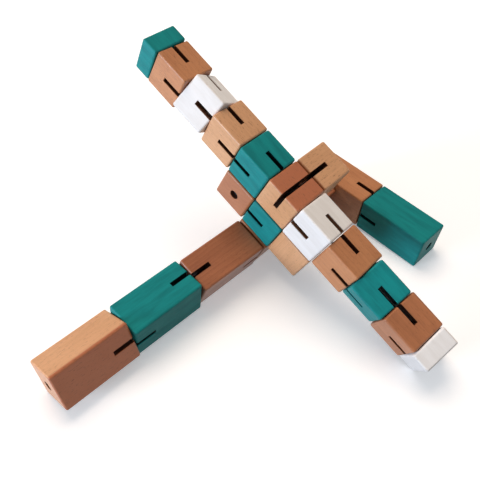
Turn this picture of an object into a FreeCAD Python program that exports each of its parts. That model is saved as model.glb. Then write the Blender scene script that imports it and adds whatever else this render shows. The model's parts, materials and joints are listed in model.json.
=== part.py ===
"""Twisty block puzzle: square wooden blocks on elastic cords, posed as a figure that leans on one hand.

Shoulder, waist and hip hub cubes stand in a column. A head cube, two five-block arms, two waist end cubes and
two three-block legs are strung from the hubs. The blocks measure 27 cubes in all, so they pack into a cube of
three cubes a side. The column frame has X along the arms, Y along the legs and Z up the column, with its
origin in the middle of the shoulder hub. The whole is then tilted about Y until it rests on the ground.
"""
import FreeCAD, Part
import math
import os

import Sketcher

Vec = FreeCAD.Vector
Placement = FreeCAD.Placement
Rotation = FreeCAD.Rotation

X_AXIS = Vec(1, 0, 0)
Y_AXIS = Vec(0, 1, 0)
Z_AXIS = Vec(0, 0, 1)

# ---------------------------------------------------------------- driving dimensions, mm
DIMENSIONS = [
    ("pitch", 20.0, "distance between the middles of two neighbouring cubes"),
    ("play", 0.4, "gap between two neighbouring faces"),
    ("edge_round", 1.0, "sanded edge radius"),
    ("bore_dia", 5.0, "drilled cord bore, and the wide mouth that hides a knot"),
    ("end_bore_dia", 3.0, "narrow bore that a knot can't pull through"),
    ("mouth_depth", 5.0, "depth of a knot's mouth in a whole block"),
    ("half_mouth_depth", 4.0, "depth of a knot's mouth in a half block"),
    ("kerf", 2.5, "width of the saw cut that lets a cord swing out of its bore"),
    ("kerf_past_middle", 1.2, "how far a saw cut runs past the middle of its cube"),
    ("cord_dia", 1.5, "elastic cord"),
    ("knot_dia", 4.4, "overhand knot pulled tight"),
    ("knot_length", 3.0, "length of a knot along its cord"),
    ("loop_radius", 1.65, "loop tied round a crossing cord, to the middle of its own cord"),
    ("loop_cord_dia", 1.6, "cord where it is doubled back in the loop"),
]
size = {alias: value for alias, value, _ in DIMENSIONS}
PITCH = size["pitch"]
PLAY = size["play"]
HALF = PITCH / 2
CORD_RADIUS = size["cord_dia"] / 2

COLUMN_PLAY = 0.6  # extra gap between two hubs of the column
CROSSING = 1.6  # distance between the middles of two crossing cords
TIGHT_BEND = 0.8  # middle line of the cord where it turns out of the shoulder hub
EASY_BEND = 2.0  # middle line of a cord that turns in a wide bore
CORD_END_GAP = 0.05  # each stretch of cord ends this far short of the joint
LINK = 3.0  # length of cord between a fold and the twist beside it

# ---------------------------------------------------------------- pose, degrees
WHITE_HAND_TWIST = 21.0
LEFT_LEG_TURN = -2.0
RIGHT_LEG_TURN = -2.0
LEFT_LEG_PLAY = 0.3
RIGHT_LEG_PLAY = 0.6
NECK_PLAY = 0.5
RIGHT_ARM_SHIFT = Vec(0, -0.7, 0.6)  # the twisted first cube of the right arm rides up over the waist

doc = FreeCAD.newDocument("TwistyBlockPuzzle")
sheet = doc.addObject("Spreadsheet::Sheet", "Dimensions")
for row, (alias, value, meaning) in enumerate(DIMENSIONS, start=1):
    sheet.set(f"A{row}", meaning)
    sheet.set(f"B{row}", str(value))
    sheet.setAlias(f"B{row}", alias)
doc.recompute()

SIDE = "(Dimensions.pitch - Dimensions.play)"
KERF_REACH = "(Dimensions.pitch / 2 - Dimensions.play / 2 + Dimensions.kerf_past_middle)"


# ---------------------------------------------------------------- sketches
def sketch_on(body, plane, name, offset=None):
    """A sketch on one of the body's own origin planes, or an expression's distance above it."""
    sketch = body.newObject("Sketcher::SketchObject", name)
    origin_plane = [f for f in body.Origin.OriginFeatures if f.Role == plane][0]
    sketch.AttachmentSupport = (origin_plane, "")
    sketch.MapMode = "FlatFace"
    if offset:
        sketch.setExpression("AttachmentOffset.Base.z", offset)
    return sketch


def bind(sketch, constraint, expression):
    """Add a dimension to a sketch and tie it to the sheet."""
    sketch.setExpression(f"Constraints[{sketch.addConstraint(constraint)}]", expression)


def draw_rectangle(sketch, left, right, bottom, top):
    """A rectangle whose four sides are expressions, measured from the sketch's origin."""
    corners = [Vec(-1, -1, 0), Vec(1, -1, 0), Vec(1, 1, 0), Vec(-1, 1, 0)]
    for start, end in zip(corners, corners[1:] + corners[:1]):
        sketch.addGeometry(Part.LineSegment(start, end), False)
    for side in range(4):
        sketch.addConstraint(Sketcher.Constraint("Coincident", side, 2, (side + 1) % 4, 1))
        sketch.addConstraint(Sketcher.Constraint("Vertical" if side % 2 else "Horizontal", side))
    bind(sketch, Sketcher.Constraint("DistanceX", -1, 1, 0, 1, -1.0), left)
    bind(sketch, Sketcher.Constraint("DistanceX", -1, 1, 0, 2, 1.0), right)
    bind(sketch, Sketcher.Constraint("DistanceY", -1, 1, 0, 1, -1.0), bottom)
    bind(sketch, Sketcher.Constraint("DistanceY", -1, 1, 2, 1, 1.0), top)


def draw_circle(sketch, diameter):
    """A circle round the sketch's origin."""
    sketch.addGeometry(Part.Circle(Vec(0, 0, 0), Z_AXIS, 1.0), False)
    sketch.addConstraint(Sketcher.Constraint("Coincident", 0, 3, -1, 1))
    bind(sketch, Sketcher.Constraint("Diameter", 0, 2.0), diameter)


def cut(body, sketch, name, length, midplane=False, reverse=False):
    """A pocket that must take wood away."""
    before = body.Shape.Volume
    pocket = body.newObject("PartDesign::Pocket", name)
    pocket.Profile = sketch
    pocket.Midplane = midplane
    pocket.Reversed = reverse
    pocket.setExpression("Length", length)
    doc.recompute()
    if body.Shape.Volume > before - 1.0:
        raise RuntimeError(f"{name} of {body.Label} cuts nothing")


# ---------------------------------------------------------------- wooden blocks
# A block's own X runs along its cord. Its first cube is centred on the origin and the block grows towards +X.
# The inner end is nearer the hub. A flat kerf opens on the block's Y faces, an upright one on its Z faces.
def cut_kerf(body, kind, name, left, right):
    plane = {"flat": "XZ_Plane", "upright": "XY_Plane"}[kind]
    sketch = sketch_on(body, plane, f"{name}Sketch")
    draw_rectangle(sketch, left, right, "-Dimensions.kerf / 2", "Dimensions.kerf / 2")
    cut(body, sketch, name, "2 * Dimensions.pitch", midplane=True)


def make_block(label, units=1, inner_kerf=None, outer_kerf=None, mouth=None):
    """A squared stick with sanded edges, a cord bore, up to two saw cuts and a mouth for a knot."""
    inner_end = "(-Dimensions.pitch / 2 + Dimensions.play / 2)"
    outer_end = f"({units - 0.5} * Dimensions.pitch - Dimensions.play / 2)"
    body = doc.addObject("PartDesign::Body", label)
    body.Label = label
    section = sketch_on(body, "YZ_Plane", "SectionSketch", inner_end)
    draw_rectangle(section, f"-{SIDE} / 2", f"{SIDE} / 2", f"-{SIDE} / 2", f"{SIDE} / 2")
    stick = body.newObject("PartDesign::Pad", "Stick")
    stick.Profile = section
    stick.setExpression("Length", f"{outer_end} - {inner_end}")
    doc.recompute()
    edges = body.newObject("PartDesign::Fillet", "SandedEdges")
    edges.Base = (stick, [f"Edge{number}" for number in range(1, 13)])
    edges.setExpression("Radius", "Dimensions.edge_round")
    doc.recompute()
    bore = sketch_on(body, "YZ_Plane", "BoreSketch")
    draw_circle(bore, "Dimensions.end_bore_dia" if mouth else "Dimensions.bore_dia")
    cut(body, bore, "Bore", "5 * Dimensions.pitch", midplane=True)
    if mouth:
        floor = sketch_on(body, "YZ_Plane", "KnotMouthSketch", f"{outer_end} - {mouth}")
        draw_circle(floor, "Dimensions.bore_dia")
        cut(body, floor, "KnotMouth", "Dimensions.pitch", reverse=True)
    if inner_kerf:
        cut_kerf(body, inner_kerf, "InnerKerf", inner_end, f"{inner_end} + {KERF_REACH}")
    if outer_kerf:
        cut_kerf(body, outer_kerf, "OuterKerf", f"{outer_end} - {KERF_REACH}", outer_end)
    return body


def drill_column(body, up=False, down=False):
    """The bore along the column, from the middle of a hub to its top, its bottom or both."""
    for wanted, name, reverse in ((up, "BoreUp", True), (down, "BoreDown", False)):
        if wanted:
            sketch = sketch_on(body, "XY_Plane", f"{name}Sketch")
            draw_circle(sketch, "Dimensions.bore_dia")
            cut(body, sketch, name, "Dimensions.pitch", reverse=reverse)


def cut_neck_kerf(body):
    """The saw cut from the middle of the shoulder hub up through its top."""
    sketch = sketch_on(body, "XZ_Plane", "NeckKerfSketch")
    half_kerf = "Dimensions.kerf / 2"
    draw_rectangle(sketch, f"-{half_kerf}", half_kerf, "-Dimensions.kerf_past_middle", "Dimensions.pitch")
    cut(body, sketch, "NeckKerf", "2 * Dimensions.pitch", midplane=True)


# ---------------------------------------------------------------- placing
pieces = []


def add(piece, placement):
    """Keep a piece with its place in the column frame."""
    pieces.append((piece, placement))


def facing(along, up):
    """The rotation that points X along a direction and Z up."""
    across = up.cross(along).normalize()
    return Rotation(along, across, along.cross(across), "XZY")


EAST = facing(X_AXIS, Z_AXIS)
WEST = facing(-X_AXIS, Z_AXIS)
NORTH = facing(Y_AXIS, Z_AXIS)
SOUTH = facing(-Y_AXIS, Z_AXIS)
DOWN = facing(-Z_AXIS, X_AXIS)
ALONG_X = Rotation(Y_AXIS, 90)


def on_line(start, turn, distance, twist=0.0):
    """A place on a line: this many mm from its start, twisted about it."""
    return Placement(start, turn) * Placement(Vec(distance, 0, 0), Rotation(X_AXIS, twist))


def add_cord(label, start, turn, first, last):
    """A straight stretch of cord on a line, from first to last mm."""
    cord = doc.addObject("Part::Cylinder", label)
    cord.Label = label
    cord.setExpression("Radius", "Dimensions.cord_dia / 2")
    cord.Height = last - first
    add(cord, on_line(start, turn, first) * Placement(Vec(0, 0, 0), ALONG_X))


def add_bent_cord(label, start, corner, end, bend):
    """A cord that runs from start to end and turns the corner on an arc."""
    arriving = (corner - start).normalize()
    leaving = (end - corner).normalize()
    setback = bend * math.tan(arriving.getAngle(leaving) / 2)
    arc_start = corner - arriving * setback
    arc_end = corner + leaving * setback
    to_centre = (leaving - arriving).normalize()
    overshoot = math.hypot(bend, setback) - bend
    path = Part.Wire([
        Part.LineSegment(start, arc_start).toShape(),
        Part.Arc(arc_start, corner + to_centre * overshoot, arc_end).toShape(),
        Part.LineSegment(arc_end, end).toShape(),
    ])
    section = Part.Wire([Part.Circle(start, arriving, CORD_RADIUS).toShape()])
    cord = doc.addObject("Part::Feature", label)
    cord.Label = label
    cord.Shape = path.makePipeShell([section], True, False)
    add(cord, Placement())


def add_knot(label, start, turn, floor):
    """A knot whose flat end sits on the floor of its mouth."""
    barrel = doc.addObject("Part::Cylinder", f"{label}_barrel")
    barrel.setExpression("Radius", "Dimensions.knot_dia / 2")
    barrel.setExpression("Height", "Dimensions.knot_length")
    knot = doc.addObject("Part::Fillet", label)
    knot.Label = label
    knot.Base = barrel
    knot.Edges = [(1, 1.0, 1.0), (3, 0.5, 0.5)]
    doc.recompute()
    add(knot, on_line(start, turn, floor) * Placement(Vec(0, 0, 0), ALONG_X))


def string_blocks(side, start, turn, blocks, link_at=None, shift_first=Vec()):
    """Blocks in a row, each with its stretch of cord, and a knot in the mouth of the last.

    A block is its name, units, inner kerf, outer kerf and twist about the cord. In the block numbered link_at
    the first LINK mm of cord are a piece of their own. shift_first moves the first block off its cord's middle.
    """
    distance = 0.0
    for number, (name, units, inner, outer, twist) in enumerate(blocks, start=1):
        last = number == len(blocks)
        depth = "half_mouth_depth" if units < 1 else "mouth_depth"
        block = make_block(f"{side}_{name}", units, inner, outer, f"Dimensions.{depth}" if last else None)
        shift = shift_first if number == 1 else Vec()
        add(block, Placement(shift, Rotation()) * on_line(start, turn, distance + HALF, twist))
        first = distance
        if number == link_at:
            first += LINK
            add_cord(f"{side}_cord_link", start, turn, distance + CORD_END_GAP, first - CORD_END_GAP)
        distance += units * PITCH
        floor = distance - PLAY / 2 - size[depth]
        end = floor if last else distance - CORD_END_GAP
        add_cord(f"{side}_cord_{number}", start, turn, first + CORD_END_GAP, end)
    add_knot(f"{side}_cord_knot", start, turn, floor)


# ---------------------------------------------------------------- hubs and the column
HUB_STEP = PITCH + COLUMN_PLAY
SHOULDER = Vec(0, 0, 0)
WAIST = Vec(0, 0, -HUB_STEP)
HIP = Vec(0, 0, -2 * HUB_STEP)

shoulder_hub = make_block("shoulder_hub_cube_beech")
cut_neck_kerf(shoulder_hub)
drill_column(shoulder_hub, down=True)
add(shoulder_hub, on_line(SHOULDER, EAST, 0))

waist_hub = make_block("waist_hub_cube_teal", 1, "flat", "upright")
drill_column(waist_hub, up=True, down=True)
add(waist_hub, on_line(WAIST, EAST, 0))

hip_hub = make_block("hip_hub_cube_beech")
drill_column(hip_hub, up=True)
add(hip_hub, on_line(HIP, NORTH, 0))

# the column's cord comes out of the neck, turns down beside the arm cord and passes the waist cord
beside = Vec(0, CROSSING, 0)
neck = Vec(0, HALF + NECK_PLAY - CORD_END_GAP, 0)
upper_end = Vec(0, CROSSING, CORD_END_GAP - HUB_STEP / 2)
add_bent_cord("column_cord_shoulder", neck, beside, upper_end, TIGHT_BEND)
add_cord("column_cord_waist", beside, DOWN, HUB_STEP / 2 + CORD_END_GAP, HUB_STEP * 1.5 - CORD_END_GAP)

# in the hip hub it is tied in a loop round the leg cord
ring = doc.addObject("Part::Torus", "HipLoopRing")
ring.setExpression("Radius1", "Dimensions.loop_radius")
ring.setExpression("Radius2", "Dimensions.loop_cord_dia / 2")
ring.Placement = Placement(Vec(), Rotation(X_AXIS, 90))
strand = doc.addObject("Part::Cylinder", "HipLoopStrand")
strand.setExpression("Radius", "Dimensions.cord_dia / 2")
strand.Height = HUB_STEP / 2 - CORD_END_GAP - size["loop_radius"]
strand.Placement = Placement(Z_AXIS * size["loop_radius"], Rotation())
hip_loop = doc.addObject("Part::Fuse", "column_cord_hip_loop")
hip_loop.Label = "column_cord_hip_loop"
hip_loop.Base = ring
hip_loop.Tool = strand
add(hip_loop, Placement(HIP + beside, Rotation()))

# ---------------------------------------------------------------- head
neck_face = Vec(0, HALF + NECK_PLAY, 0)
head = make_block("head_cube_beech", 1, "upright", None, "Dimensions.mouth_depth")
add(head, on_line(neck_face, NORTH, HALF))
head_floor = PITCH - PLAY / 2 - size["mouth_depth"]
add_cord("neck_cord_link", neck_face, NORTH, CORD_END_GAP, LINK - CORD_END_GAP)
add_cord("head_cord", neck_face, NORTH, LINK + CORD_END_GAP, head_floor)
add_knot("head_cord_knot", neck_face, NORTH, head_floor)

# ---------------------------------------------------------------- arms, on one cord through the shoulder hub
add_cord("arm_cord_shoulder", SHOULDER, EAST, CORD_END_GAP - HALF, HALF - CORD_END_GAP)
string_blocks("left_arm", Vec(-HALF, 0, 0), WEST, [
    ("cube_1_teal", 1, "upright", "flat", 0.0),
    ("cube_2_beech", 1, "flat", "upright", 3.4),
    ("cube_3_white", 1, "flat", "upright", 35.0),
    ("cube_4_beech", 1, "flat", "upright", 6.0),
    ("hand_half_cube_teal", 0.5, None, None, 1.0),
], link_at=2)
string_blocks("right_arm", Vec(HALF, 0, 0), EAST, [
    ("cube_1_white", 1, "flat", "upright", -9.0),
    ("cube_2_beech", 1, "upright", "flat", 1.5),
    ("cube_3_teal", 1, "flat", "upright", 22.0),
    ("cube_4_beech", 1, "upright", "flat", 15.0),
    ("hand_half_cube_white", 0.5, None, None, WHITE_HAND_TWIST),
], shift_first=RIGHT_ARM_SHIFT)

# ---------------------------------------------------------------- waist end cubes, on one cord through the hub
add_cord("waist_cord_centre", WAIST, EAST, CORD_END_GAP - HALF, HALF - CORD_END_GAP)
waist_floor = HALF - PLAY / 2 - size["mouth_depth"]
for side, out, turn, kerf in (("left", -X_AXIS, SOUTH, "flat"), ("right", X_AXIS, DOWN, "upright")):
    middle = WAIST + out * PITCH
    cube = make_block(f"{side}_waist_end_cube_beech", 1, kerf, None, "Dimensions.mouth_depth")
    add(cube, on_line(middle, turn, 0))
    cord_end = middle + turn.multVec(X_AXIS) * waist_floor
    add_bent_cord(f"{side}_waist_cord", WAIST + out * (HALF + CORD_END_GAP), middle, cord_end, EASY_BEND)
    add_knot(f"{side}_waist_cord_knot", middle, turn, waist_floor)

# ---------------------------------------------------------------- lean, so that the hip hub and the right hand rest
# Every sanded edge is a round bar of radius ROUND. The lowest bars of the two ends set the column's lean.
ROUND = size["edge_round"]
BAR = HALF - PLAY / 2 - ROUND


def bar_depth(twist):
    """How far below a block's axis its lowest edge bar lies when the block is twisted."""
    angle = math.radians(abs(twist))
    return BAR * (math.sin(angle) + math.cos(angle))


hip_bar = HIP + Vec(BAR, 0, -BAR)
hand_bar = Vec(5 * PITCH - PLAY / 2 - ROUND, 0, -bar_depth(WHITE_HAND_TWIST))
LEAN = math.degrees(math.atan2(hand_bar.z - hip_bar.z, hand_bar.x - hip_bar.x))
lean = Placement(Vec(0, 0, 0), Rotation(Y_AXIS, LEAN))
HIP_HEIGHT = ROUND + bar_depth(LEAN)
UPRIGHT = lean.Rotation.inverted().multVec(Z_AXIS)

# ---------------------------------------------------------------- legs, on one cord through the hip hub
add_cord("leg_cord_hip", HIP, NORTH, CORD_END_GAP - HALF, HALF - CORD_END_GAP)
left_leg_turn = Rotation(UPRIGHT, LEFT_LEG_TURN) * SOUTH
string_blocks("left_leg", HIP - Y_AXIS * (HALF + LEFT_LEG_PLAY), left_leg_turn, [
    ("block_1_beech", 2, "flat", "upright", 4.0),
    ("block_2_teal", 2, "upright", "flat", 19.0),
    ("foot_block_beech", 2, "flat", None, 2 * LEAN),
], link_at=1)

# the first block of the right leg lies behind the hip hub, and the shin stands across its end
thigh_start = HIP + Y_AXIS * HALF
thigh = make_block("right_leg_block_1_beech", 2, "flat", "upright")
add(thigh, on_line(thigh_start, NORTH, HALF))
add_cord("right_leg_cord_1", thigh_start, NORTH, CORD_END_GAP, 2 * PITCH - CORD_END_GAP)
knee_face = thigh_start + Y_AXIS * 2 * PITCH
add_cord("right_leg_cord_link", knee_face, NORTH, CORD_END_GAP, LINK - CORD_END_GAP)
knee = knee_face + Y_AXIS * (HALF + RIGHT_LEG_PLAY)

# the right foot's lower edge touches the ground, which sets the slope of the shin
reach = 3.5 * PITCH - PLAY / 2 - ROUND
SLOPE = math.degrees(math.asin((HIP_HEIGHT - ROUND) / math.hypot(reach, BAR)) - math.atan2(BAR, reach))
shin_turn = Rotation(UPRIGHT, RIGHT_LEG_TURN) * Rotation(Y_AXIS, SLOPE - LEAN) * EAST
shin = make_block("right_leg_block_2_beech", 2, "flat", "upright")
add(shin, on_line(knee, shin_turn, 0))
foot = make_block("right_leg_foot_block_teal", 2, "flat", None, "Dimensions.mouth_depth")
add(foot, on_line(knee, shin_turn, 2 * PITCH))
shin_end = 1.5 * PITCH - CORD_END_GAP
foot_floor = 3.5 * PITCH - PLAY / 2 - size["mouth_depth"]
shin_along = shin_turn.multVec(X_AXIS)
knee_in = knee_face + Y_AXIS * (LINK + CORD_END_GAP)
add_bent_cord("right_leg_cord_2", knee_in, knee, knee + shin_along * shin_end, EASY_BEND)
add_cord("right_leg_cord_3", knee, shin_turn, shin_end + 2 * CORD_END_GAP, foot_floor)
add_knot("right_leg_cord_knot", knee, shin_turn, foot_floor)

# ---------------------------------------------------------------- stand it on the ground and write it out
for piece, placement in pieces:
    piece.Placement = lean * placement
doc.recompute()

boxes = [piece.Shape.optimalBoundingBox(True) for piece, _ in pieces]
middle_x = (min(box.XMin for box in boxes) + max(box.XMax for box in boxes)) / 2
middle_y = (min(box.YMin for box in boxes) + max(box.YMax for box in boxes)) / 2
lowest = min(box.ZMin for box in boxes)
stand = Placement(Vec(-middle_x, -middle_y, -lowest), Rotation())
for piece, _ in pieces:
    piece.Placement = stand * piece.Placement
doc.recompute()

for thing in doc.Objects:
    if "Invalid" in thing.State or "Error" in thing.State:
        raise RuntimeError(f"{thing.Label} is {thing.State}")
os.makedirs("parts", exist_ok=True)
for piece, _ in pieces:
    if piece.Shape.isNull() or not piece.Shape.isValid() or len(piece.Shape.Solids) != 1:
        raise RuntimeError(f"{piece.Label} is not one good solid")
    piece.Shape.exportStep(f"parts/{piece.Label}.step")

shoulder = stand.multVec(lean.multVec(SHOULDER))
print(f"{len(pieces)} pieces, lean {LEAN:.4f}, shin slope {SLOPE:.4f} degrees")
print(f"shoulder hub middle at {shoulder.x:.4f} {shoulder.y:.4f} {shoulder.z:.4f} mm")
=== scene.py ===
# %% [markdown]
# # Twisty block puzzle
# Twenty-two square blocks hang together on four black elastic cords. Some blocks are clear-waxed beech,
# some are painted teal and some white. Each has its own wood grain, and the paint sits on wood as well. The
# shapes come from the CAD frame. This script gives them their finishes, the elastic across the folds, the
# light and the camera.

# %% Load the frame and keep its size
import json
import math
import random

import bpy
import numpy as np
from mathutils import Matrix, Vector


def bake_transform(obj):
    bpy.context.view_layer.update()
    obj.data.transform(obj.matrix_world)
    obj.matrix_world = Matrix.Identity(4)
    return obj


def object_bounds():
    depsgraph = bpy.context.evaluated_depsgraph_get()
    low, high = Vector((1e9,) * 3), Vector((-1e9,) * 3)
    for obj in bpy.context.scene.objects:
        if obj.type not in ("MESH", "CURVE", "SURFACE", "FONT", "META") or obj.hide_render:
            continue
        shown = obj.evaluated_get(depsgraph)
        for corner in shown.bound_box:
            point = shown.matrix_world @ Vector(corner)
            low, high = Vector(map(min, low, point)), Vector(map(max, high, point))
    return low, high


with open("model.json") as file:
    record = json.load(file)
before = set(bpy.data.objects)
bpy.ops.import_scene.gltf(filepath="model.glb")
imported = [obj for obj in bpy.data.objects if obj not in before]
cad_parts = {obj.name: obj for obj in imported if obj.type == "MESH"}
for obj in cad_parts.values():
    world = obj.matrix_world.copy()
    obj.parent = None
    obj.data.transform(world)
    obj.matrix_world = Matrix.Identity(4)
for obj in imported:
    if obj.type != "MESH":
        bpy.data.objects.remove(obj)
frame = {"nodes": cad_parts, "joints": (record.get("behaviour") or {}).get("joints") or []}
cad_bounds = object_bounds()
NODES = frame["nodes"]
JOINTS = {joint["name"]: joint for joint in frame["joints"]}
span = cad_bounds[1] - cad_bounds[0]
print(f"{len(NODES)} nodes, {span.x * 1000:.0f} x {span.y * 1000:.0f} x {span.z * 1000:.0f} mm")

# %% [markdown]
# ## Small helpers
# Colours are written as sRGB hex and turned into linear light by one function. One more function adds a
# shader node, gives it its settings and either links or sets each of its inputs. Arithmetic on positions
# gets a short name, because most patterns here are built from distances in millimetres.

# %% Helpers for colours and shader nodes
def linear(hex_colour):
    channels = [int(hex_colour[i:i + 2], 16) / 255 for i in (1, 3, 5)]
    return [c / 12.92 if c <= 0.04045 else ((c + 0.055) / 1.055) ** 2.4 for c in channels] + [1.0]


def add(tree, kind, inputs=None, **settings):
    node = tree.nodes.new(kind)
    for name, value in settings.items():
        setattr(node, name, value)
    for key, value in (inputs or {}).items():
        socket = node.inputs[key]
        if isinstance(value, bpy.types.NodeSocket):
            tree.links.new(value, socket)
        else:
            socket.default_value = value
    return node


def calc(tree, operation, a, b=0.0, clamp=False):
    return add(tree, "ShaderNodeMath", {0: a, 1: b}, operation=operation, use_clamp=clamp).outputs[0]


def fade(tree, value, low, high):
    """0 below low, 1 above high and smooth between; high may be the smaller."""
    inputs = {"Value": value, "From Min": low, "From Max": high}
    return add(tree, "ShaderNodeMapRange", inputs, interpolation_type="SMOOTHSTEP").outputs[0]


def mix(tree, factor, first, second, blend_type="MIX"):
    inputs = {0: factor, 6: first, 7: second}
    return add(tree, "ShaderNodeMix", inputs, data_type="RGBA", blend_type=blend_type).outputs[2]


def vector_calc(tree, operation, a, b):
    return add(tree, "ShaderNodeVectorMath", {0: a, 1: b}, operation=operation).outputs[0]


def dot(tree, a, b):
    return add(tree, "ShaderNodeVectorMath", {0: a, 1: b}, operation="DOT_PRODUCT").outputs[1]


def in_millimetres(tree):
    """The object's own coordinates, turned from metres into millimetres."""
    place = add(tree, "ShaderNodeTexCoord").outputs["Object"]
    return add(tree, "ShaderNodeVectorMath", {0: place, 3: 1000.0}, operation="SCALE").outputs[0]


def noise(tree, vector, scale, detail=3.0, roughness=0.55):
    """Noise from 0 to 1 whose lumps are 1 / scale mm across along each axis of the vector."""
    scaled = vector_calc(tree, "MULTIPLY", vector, scale)
    inputs = {"Vector": scaled, "Scale": 1.0, "Detail": detail, "Roughness": roughness}
    return add(tree, "ShaderNodeTexNoise", inputs).outputs[0]


# %% [markdown]
# ## Where each block's grain runs
# Every block is sawn from a square stick, so its fibres run along the cord that threads it. The record's
# joint axes give those directions. The block's flat sides give the other two axes, and its corners give its
# middle and half sizes. With these the grain and the paint's edge wear can be laid out in millimetres from
# each block's own middle.

# %% Find the axes, middle and half sizes of each block
FIBRES_ALONG = [  # start of a block's name, and a twist about the direction its fibres run in
    ("left_arm", "left_elbow_twist"),
    ("right_arm", "left_elbow_twist"),
    ("shoulder", "left_elbow_twist"),
    ("waist_hub", "left_elbow_twist"),
    ("head", "head_twist"),
    ("hip", "head_twist"),
    ("left_waist", "head_twist"),
    ("right_waist", "column_upper_twist"),
    ("left_leg", "left_hip_twist"),
    ("right_leg_block_1", "head_twist"),
    ("right_leg", "right_foot_twist"),
]


def block_frame(name):
    """Three unit axes (along the fibres, across, up), the middle in metres and the half sizes in mm."""
    mesh = NODES[name].data
    joint = next(joint for prefix, joint in FIBRES_ALONG if name.startswith(prefix))
    x_axis = np.array(JOINTS[joint]["axis"])
    normals = np.zeros(len(mesh.polygons) * 3)
    areas = np.zeros(len(mesh.polygons))
    mesh.polygons.foreach_get("normal", normals)
    mesh.polygons.foreach_get("area", areas)
    normals = normals.reshape(-1, 3)
    sides = np.abs(normals @ x_axis) < 0.02
    z_axis = normals[np.argmax(areas * sides * (1 + normals[:, 2]))]
    z_axis = z_axis - x_axis * (z_axis @ x_axis)
    z_axis /= np.linalg.norm(z_axis)
    axes = np.array([x_axis, np.cross(z_axis, x_axis), z_axis])
    corners = np.array([vertex.co for vertex in mesh.vertices]) @ axes.T
    low, high = corners.min(0), corners.max(0)
    return axes, axes.T @ ((low + high) / 2), (high - low) / 2 * 1000


BLOCKS = {name: block_frame(name) for name in sorted(NODES) if "cord" not in name}
for name, (_, _, half) in BLOCKS.items():
    print(f"{name}: half sizes {half.round(1)} mm")

# %% [markdown]
# ## Positions in millimetres inside one block
# Three dot products turn the object's coordinates into millimetres along, across and up the block. From
# these come two masks: how deep a point lies under the block's outer faces, which tells a saw cut from a
# painted face, and how near it is to an edge, where hands rub the finish away.

# %% Local coordinates and masks
def local_position(tree, axes, middle):
    """A point's place in the block in mm, as a vector and as its three parts."""
    place = add(tree, "ShaderNodeTexCoord").outputs["Object"]
    moved = vector_calc(tree, "SUBTRACT", place, middle)
    parts = [calc(tree, "MULTIPLY", dot(tree, moved, axis), 1000.0) for axis in axes]
    return add(tree, "ShaderNodeCombineXYZ", dict(enumerate(parts))).outputs[0], parts


SKIN = (-0.42, -0.30)  # mm; deeper than the first is a cut or bore, shallower than the second a face


def face_masks(tree, parts, half):
    """1 on the outer faces and 0 in bores and saw cuts, and the mm to the nearest edge."""
    away = [calc(tree, "ABSOLUTE", part) for part in parts]
    depth = [calc(tree, "SUBTRACT", part, size) for part, size in zip(away, half)]
    pair_high = calc(tree, "MAXIMUM", depth[0], depth[1])
    pair_low = calc(tree, "MINIMUM", depth[0], depth[1])
    nearest = calc(tree, "MAXIMUM", pair_high, depth[2])
    second = calc(tree, "MAXIMUM", pair_low, calc(tree, "MINIMUM", pair_high, depth[2]))
    return fade(tree, nearest, *SKIN), calc(tree, "MULTIPLY", second, -1.0)


# %% [markdown]
# ## Beech
# Beech is a pinkish tan wood with faint growth rings, straight fine fibres and short dark flecks a couple
# of millimetres long. The rings are circles round a pith that lies outside the block, so sides show stripes
# and ends show arcs, as in real sawn stock. Blotches about a centimetre wide keep neighbouring blocks from
# matching.

# %% Wood grain as a tone from 0 to 1, flecks and a height
PITH_DISTANCE = 26.0  # mm from the block's middle
RING_SPACING = 2.4  # mm
RING_WANDER = 7.0  # mm


def wood_grain(tree, position, seed):
    """The grain's tone, flecks and height, and the shifted position that gives a block noise of its own."""
    rng = random.Random(seed)
    offset = [rng.uniform(-400, 400) for _ in range(3)]
    wood = vector_calc(tree, "ADD", position, offset)
    angle = rng.uniform(0, 2 * math.pi)
    pith = (0.0, PITH_DISTANCE * math.cos(angle), PITH_DISTANCE * math.sin(angle))
    from_pith = vector_calc(tree, "SUBTRACT", position, pith)
    across = vector_calc(tree, "MULTIPLY", from_pith, (0.02, 1.0, 1.0))
    radius = add(tree, "ShaderNodeVectorMath", {0: across}, operation="LENGTH").outputs[1]
    wander = noise(tree, wood, (0.02, 0.12, 0.12), detail=2.0)  # bends 8 mm wide and 50 mm long
    wavy = calc(tree, "ADD", radius, calc(tree, "MULTIPLY", wander, RING_WANDER))
    # a ring is pale spring wood that darkens slowly, then a sharp edge
    ring = calc(tree, "FRACT", calc(tree, "DIVIDE", wavy, RING_SPACING))
    ring = calc(tree, "MULTIPLY", calc(tree, "POWER", ring, 2.2), fade(tree, ring, 1.0, 0.93))
    fibre = noise(tree, wood, (0.045, 2.6, 2.6), detail=5.0, roughness=0.65)  # 0.4 mm wide and 20 mm long
    blotch = noise(tree, wood, (0.03, 0.08, 0.08), detail=2.0)  # 12 mm wide and 30 mm long
    fleck_noise = noise(tree, wood, (0.42, 3.4, 3.4), detail=1.0)  # 0.3 mm wide and 2.4 mm long
    flecks = fade(tree, fleck_noise, 0.62, 0.72)
    tone = calc(tree, "MULTIPLY", ring, 0.26)
    tone = calc(tree, "ADD", tone, calc(tree, "MULTIPLY", fade(tree, fibre, 0.3, 0.72), 0.34))
    tone = calc(tree, "ADD", tone, calc(tree, "MULTIPLY", fade(tree, blotch, 0.3, 0.7), 0.36), clamp=True)
    height = calc(tree, "SUBTRACT", fibre, calc(tree, "MULTIPLY", flecks, 0.5))
    return tone, flecks, height, wood


def new_material(name):
    material = bpy.data.materials.new(name)
    material.use_nodes = True
    tree = material.node_tree
    tree.nodes.clear()
    return material, tree


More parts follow.
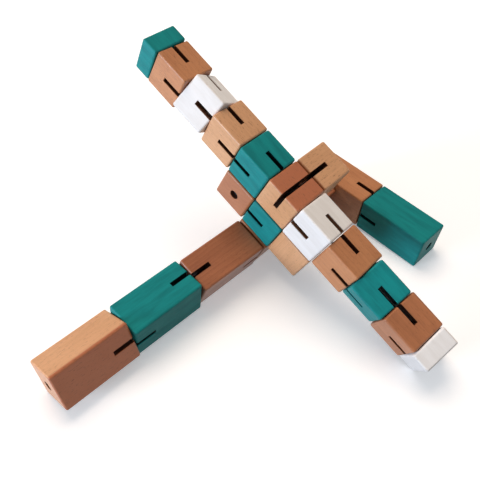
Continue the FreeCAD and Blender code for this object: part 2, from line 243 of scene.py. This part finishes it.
def finish_material(tree, colour, roughness, height, bump_mm, coat=0.0, specular=0.5):
    """Put the last shader together. coat is a clear layer of wax, and bump_mm the height of the relief."""
    bump = add(tree, "ShaderNodeBump", {"Height": height, "Distance": bump_mm / 1000, "Strength": 1.0})
    shader = add(tree, "ShaderNodeBsdfPrincipled", {
        "Base Color": colour, "Roughness": roughness, "Normal": bump.outputs[0],
        "Coat Weight": coat, "Coat Roughness": 0.35, "Specular IOR Level": specular,
    })
    add(tree, "ShaderNodeOutputMaterial", {"Surface": shader.outputs[0]})
    return shader


# %% [markdown]
# ## Clear-waxed beech
# The beech blocks were sanded and waxed, so the wood shows its own colour with a soft sheen. Handling has
# darkened the edges a little, and the walls of the saw cuts and bores are painted dark brown as shade. The
# sticks differ: some are pale, some tan, some brown, and two blocks have one side painted a deeper
# red-brown as shade.

# %% Waxed beech material
FLECK = "#7A4526"
HANDLED_EDGE = "#8A5433"
# painted shade: the deeper red-brown on one side of two blocks
PAINTED_SHADE_RED = "#BA6840"
# painted shade: dark brown for the walls of the saw cuts and bores
SAW_CUT_SHADE = "#4E2612"
PAINTED_SHADE_BORDER = 0.9  # mm over which the painted red-brown shade fades out


def waxed_beech(name, block, seed, pale, deep, painted_shade_side=None):
    """The last argument is the local axis of the side painted a deeper red-brown as shade, and its depth in
    mm.
    """
    material, tree = new_material(f"waxed_beech_{name}")
    axes, middle, half = block
    position, parts = local_position(tree, axes, middle)
    outer, edge = face_masks(tree, parts, half)
    tone, flecks, height, wood = wood_grain(tree, position, seed)
    colour = mix(tree, tone, linear(pale), linear(deep))
    if painted_shade_side:  # painted shade: one side is darkened to a deeper red-brown
        side, depth = painted_shade_side
        border = calc(tree, "ADD", parts[side], noise(tree, wood, (0.05, 0.3, 0.3)))
        painted_shade = fade(tree, border, half[side] - depth, half[side] - depth + PAINTED_SHADE_BORDER)
        colour = mix(tree, calc(tree, "MULTIPLY", painted_shade, 0.9), colour, linear(PAINTED_SHADE_RED))
    colour = mix(tree, calc(tree, "MULTIPLY", flecks, 0.55), colour, linear(FLECK))
    # end grain drinks more wax and looks darker
    end = fade(tree, calc(tree, "ABSOLUTE", parts[0]), half[0] - 0.4, half[0] - 0.1)
    colour = mix(tree, calc(tree, "MULTIPLY", end, 0.45), colour, linear(deep), "MULTIPLY")
    patches = fade(tree, noise(tree, wood, (0.5, 0.5, 0.5)), 0.3, 0.7)  # 2 mm across
    hands = calc(tree, "MULTIPLY", fade(tree, edge, 1.4, 0.0), patches)
    colour = mix(tree, calc(tree, "MULTIPLY", hands, 0.3), colour, linear(HANDLED_EDGE))
    # painted shade: the walls of saw cuts and bores get a dark brown
    colour = mix(tree, outer, linear(SAW_CUT_SHADE), colour)
    roughness = calc(tree, "ADD", 0.46, calc(tree, "MULTIPLY", tone, 0.18))
    finish_material(tree, colour, roughness, height, bump_mm=0.05, coat=0.6)
    return material


# %% [markdown]
# ## Paint on beech
# Thin satin paint was brushed on the whole outside. The grain shows through as faint ridges, the colour
# pools a little darker along the fibres, and the edges are rubbed in small patches. The walls of the white
# blocks' saw cuts are bare brown wood, because they were cut after painting. The walls of the teal ones'
# saw cuts and bores are painted a near-black teal as shade.

# %% Paint material
PAINTS = {  # fresh paint, where it pools, worn edge, saw cut wall (teal: painted shade), and how much the edges have worn
    "teal": ("#189291", "#127274", "#4F9A93", "#0A2324", 0.45),
    "white": ("#F7F4F1", "#E9E4DF", "#B4936F", "#8A6248", 0.40),
}


def painted_beech(name, block, seed, colour_name):
    paint, shade, worn, cut_wall_wood_and_shade, wear = PAINTS[colour_name]
    material, tree = new_material(f"{colour_name}_paint_{name}")
    axes, middle, half = block
    position, parts = local_position(tree, axes, middle)
    outer, edge = face_masks(tree, parts, half)
    tone, _, height, wood = wood_grain(tree, position, seed)
    pools = noise(tree, wood, (0.06, 0.35, 0.35), detail=4.0)  # 3 mm wide and 17 mm long
    pooled = fade(tree, pools, 0.35, 0.7)
    through = calc(tree, "MULTIPLY", tone, 0.45)
    streak = calc(tree, "ADD", through, calc(tree, "MULTIPLY", pooled, 0.5), clamp=True)
    colour = mix(tree, streak, linear(paint), linear(shade))
    chip_noise = noise(tree, wood, (0.9, 0.9, 0.9), detail=4.0, roughness=0.7)  # chips 1 mm across
    chips = fade(tree, chip_noise, 0.50, 0.62)
    rubbed = calc(tree, "MULTIPLY", fade(tree, edge, 0.75, 0.1), chips)
    colour = mix(tree, calc(tree, "MULTIPLY", rubbed, wear), colour, linear(worn))
    # saw cut walls: bare wood on the white blocks, painted near-black shade on the teal ones
    colour = mix(tree, outer, linear(cut_wall_wood_and_shade), colour)
    roughness = calc(tree, "ADD", 0.45, calc(tree, "MULTIPLY", rubbed, 0.3))
    roughness = calc(tree, "ADD", roughness, calc(tree, "MULTIPLY", streak, 0.10))
    finish_material(tree, colour, roughness, height, bump_mm=0.03, specular=0.2)
    return material


# %% [markdown]
# ## Which block has which finish
# A node's name ends in its finish. The beech blocks were sawn from four sticks of different tone, and two
# blocks have one side painted a deeper red-brown as shade.

# %% Give each block its finish
BEECH_STOCK = {  # pale and deep tone of each stick the blocks were sawn from
    "light": ("#E3AB7C", "#CB9466"),
    "tan": ("#CF8C5A", "#B26F42"),
    "amber": ("#BE7749", "#985B34"),
    "brown": ("#B9734B", "#935333"),
}
STOCK_OF = {
    "light": ["shoulder_hub", "head_cube", "left_arm_cube_2", "right_waist", "left_leg_foot"],
    "amber": ["right_arm_cube_4"],
    "brown": ["left_leg_block_1", "right_leg_block_1"],
}

PAINTED_SHADE_SIDES = {  # local axis of the side painted a deeper red-brown as shade, and its depth in mm
    "left_leg_foot_block_beech": (1, 1.4),
    "shoulder_hub_cube_beech": (2, 0.5),
}


def stock_of(name):
    found = [stock for stock, starts in STOCK_OF.items() if name.startswith(tuple(starts))]
    return found[0] if found else "tan"


for seed, (name, block) in enumerate(BLOCKS.items()):
    colour_name = name.rsplit("_", 1)[1]
    if colour_name in PAINTS:
        made = painted_beech(name, block, seed, colour_name)
    else:
        made = waxed_beech(name, block, seed, *BEECH_STOCK[stock_of(name)], PAINTED_SHADE_SIDES.get(name))
    NODES[name].data.materials.clear()
    NODES[name].data.materials.append(made)
print(f"{len(BLOCKS)} blocks finished")

# %% [markdown]
# ## Elastic cord
# The cords are rubber cores in a black woven sheath, 1.5 mm thick. The weave is two sets of slanting
# threads, each about 0.23 mm wide. Two crossed wave patterns stand in for it, as bumps and as a small change
# of tone.

# %% Elastic cord material
WEAVE_REPEAT = 0.7  # mm along x for two threads; their slant makes each 0.23 mm wide


def elastic_cord():
    material, tree = new_material("elastic_cord_black")
    millimetres = in_millimetres(tree)
    bands = []
    for slant in ((1.0, 1.0, 0.6), (1.0, -1.0, -0.6)):
        turned = dot(tree, millimetres, slant)
        bands.append(calc(tree, "SINE", calc(tree, "MULTIPLY", turned, 2 * math.pi / WEAVE_REPEAT)))
    weave = fade(tree, calc(tree, "MULTIPLY", bands[0], bands[1]), -1.0, 1.0)
    fuzz = noise(tree, millimetres, (4.0, 4.0, 4.0))  # lint 0.25 mm across
    colour = mix(tree, calc(tree, "MULTIPLY", weave, fuzz), linear("#0B0B0D"), linear("#3A3A3F"))
    roughness = calc(tree, "ADD", 0.6, calc(tree, "MULTIPLY", fuzz, 0.25))
    finish_material(tree, colour, roughness, weave, bump_mm=0.08)
    return material


CORD = elastic_cord()
for name, node in NODES.items():
    if "cord" in name:
        node.data.materials.clear()
        node.data.materials.append(CORD)

# %% [markdown]
# ## Elastic across the folds
# When two blocks fold by 90 degrees, the elastic stretches across the open corner from bore to bore. The
# CAD cords are rigid and end at the joints, so a short straight tube, its ends hidden inside theirs, is laid
# across each of these joints at rest. It is a little thinner than they are, and leaves no gap between them.
# The neck and the left waist fold right over, which drops the elastic into the saw cuts, out of sight. The
# left hip gets no tube, because it would run into the right waist cube when both are folded.

# %% Stretching pieces of cord
FOLDED_CORDS = [  # fold, cord before it, cord after it, a twist about the same line, and which way along it
    ("left_shoulder_fold", "arm_cord_shoulder", "left_arm_cord_1", "left_elbow_twist", -1),
    ("left_elbow_fold", "left_arm_cord_1", "left_arm_cord_link", "left_elbow_twist", -1),
    ("right_shoulder_fold", "arm_cord_shoulder", "right_arm_cord_1", "left_elbow_twist", 1),
    ("right_waist_fold", "waist_cord_centre", "right_waist_cord", "left_elbow_twist", 1),
    ("right_knee_fold", "right_leg_cord_link", "right_leg_cord_2", "head_twist", 1),
]
INSIDE = 0.0008  # m, how far a tube reaches into the cord at each end
THIN = 0.0007  # m, tube radius; the cords' is 0.75 mm
RING_DEPTH = 6e-5  # m, points this near the farthest one make up its end ring


def cord_end(name, direction):
    """The middle of the cord's end ring on the side that the direction points to."""
    points = np.array([vertex.co for vertex in NODES[name].data.vertices])
    reach = points @ direction
    return points[reach > reach.max() - RING_DEPTH].mean(0)


def tube(name, start, end, radius, rings=33, around=16):
    """An open tube with enough rings to bend smoothly; its ends stay hidden inside the cords."""
    line = end - start
    side = np.cross(line, (0.3, 0.5, 0.8))
    side /= np.linalg.norm(side)
    up = np.cross(line, side) / np.linalg.norm(line)
    turns = [2 * math.pi * step / around for step in range(around)]
    circle = [radius * (math.cos(turn) * side + math.sin(turn) * up) for turn in turns]
    points = [start + line * ring / (rings - 1) + spoke for ring in range(rings) for spoke in circle]
    faces = [
        (ring * around + step, ring * around + (step + 1) % around,
         (ring + 1) * around + (step + 1) % around, (ring + 1) * around + step)
        for ring in range(rings - 1) for step in range(around)
    ]
    mesh = bpy.data.meshes.new(name)
    mesh.from_pydata([tuple(point) for point in points], [], faces)
    mesh.shade_smooth()
    piece = bpy.data.objects.new(name, mesh)
    bpy.context.scene.collection.objects.link(piece)
    return piece


for fold, before, after, twist, sense in FOLDED_CORDS:
    along = np.array(JOINTS[twist]["axis"]) * sense
    start = cord_end(before, along) - along * INSIDE
    end = cord_end(after, -along) + along * INSIDE
    piece = tube(f"{fold}_elastic", start, end, THIN)
    piece.data.materials.append(CORD)
    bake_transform(piece)
    print(f"{piece.name}: {np.linalg.norm(end - start) * 1000:.2f} mm at rest")

# %% [markdown]
# ## Floor, light and camera
# The puzzle lies on a very pale table. A window at the front left throws cool light low across it, so the
# front faces are the brightest, the right leg stands in the arms' shadow and the sides turned away are
# dark. Warmer room light from above fills the tops, and a little from the right reaches the ends. The table
# glows slightly so that it stays pale. It shows in the sheen of the faces near it, but it doesn't light
# them, which keeps the undersides deep.

# %% Floor
TABLE_SIZE = 24.0  # m, so that its edge is lost in the distance
TABLE_GLOW = 0.31


def pale_floor():
    material, tree = new_material("pale_table")
    speckle = noise(tree, in_millimetres(tree), (1.5, 1.5, 1.5), detail=2.0)  # 0.7 mm across
    colour = mix(tree, calc(tree, "MULTIPLY", speckle, 0.5), linear("#FFFFFF"), linear("#F6F5F4"))
    shader = finish_material(tree, colour, 0.7, speckle, bump_mm=0.02, specular=0.1)
    shader.inputs["Emission Color"].default_value = linear("#F6FAFF")
    shader.inputs["Emission Strength"].default_value = TABLE_GLOW
    return material


bpy.ops.mesh.primitive_plane_add(size=TABLE_SIZE, location=(0.0, 0.0, 0.0))
floor = bpy.context.object
floor.name = "floor"
floor.data.materials.append(pale_floor())
floor.visible_diffuse = False

# %% Light
HEART = (0.0, 0.0, 0.05)  # m, what the lights point at
WORLD_STRENGTH = 0.38
HORIZON = (-0.12, 0.06)  # upward slope of a ray, between which the room turns from floor to wall


def area_light(name, place, size, watts, colour, glossy=True):
    """A square light; one that isn't glossy leaves no shine on the paint and wax."""
    light = bpy.data.lights.new(name, "AREA")
    light.size = size
    light.energy = watts
    light.color = linear(colour)[:3]
    lamp = bpy.data.objects.new(name, light)
    bpy.context.scene.collection.objects.link(lamp)
    lamp.location = place
    lamp.visible_glossy = glossy
    lamp.rotation_euler = (Vector(HEART) - Vector(place)).to_track_quat("-Z", "Y").to_euler()


area_light("window_front_left", (-0.45, -1.30, 0.16), 0.5, 23.0, "#E6EFFF")
area_light("room_above", (-0.50, 0.22, 1.20), 0.9, 10.6, "#FFEBD8", glossy=False)
area_light("room_right", (1.3, 0.1, 0.35), 0.8, 0.8, "#FFF2E6", glossy=False)

world = bpy.data.worlds.new("dim_room")
world.use_nodes = True
room = world.node_tree
direction = add(room, "ShaderNodeTexCoord").outputs["Generated"]
height = add(room, "ShaderNodeSeparateXYZ", {0: direction}).outputs[2]
room_light = mix(room, fade(room, height, *HORIZON), linear("#4A4642"), linear("#EAECEE"))
seen = add(room, "ShaderNodeLightPath").outputs["Is Camera Ray"]  # the backdrop itself is plain and pale
backdrop = mix(room, seen, room_light, linear("#F3F4F5"))
background = room.nodes["Background"]
room.links.new(backdrop, background.inputs[0])
strength = calc(room, "ADD", WORLD_STRENGTH, calc(room, "MULTIPLY", seen, 1.0 - WORLD_STRENGTH))
room.links.new(strength, background.inputs[1])
bpy.context.scene.world = world

# %% Camera
FOCAL_LENGTH, SENSOR_WIDTH = 44.4, 36.0  # mm
PLACE = (0.1165, -0.1373, 0.2447)  # m
HEADING, DOWN, ROLL = 41.26, 48.29, 2.67  # degrees

lens = bpy.data.cameras.new("camera")
lens.lens = FOCAL_LENGTH
lens.sensor_width = SENSOR_WIDTH
camera = bpy.data.objects.new("camera", lens)
bpy.context.scene.collection.objects.link(camera)
camera.matrix_world = (
    Matrix.Translation(PLACE)
    @ Matrix.Rotation(math.radians(HEADING), 4, "Z")
    @ Matrix.Rotation(math.radians(90 - DOWN), 4, "X")
    @ Matrix.Rotation(math.radians(ROLL), 4, "Z")
)
lens.clip_start = 0.01
bpy.context.scene.camera = camera
bpy.context.scene.view_settings.view_transform = "Standard"
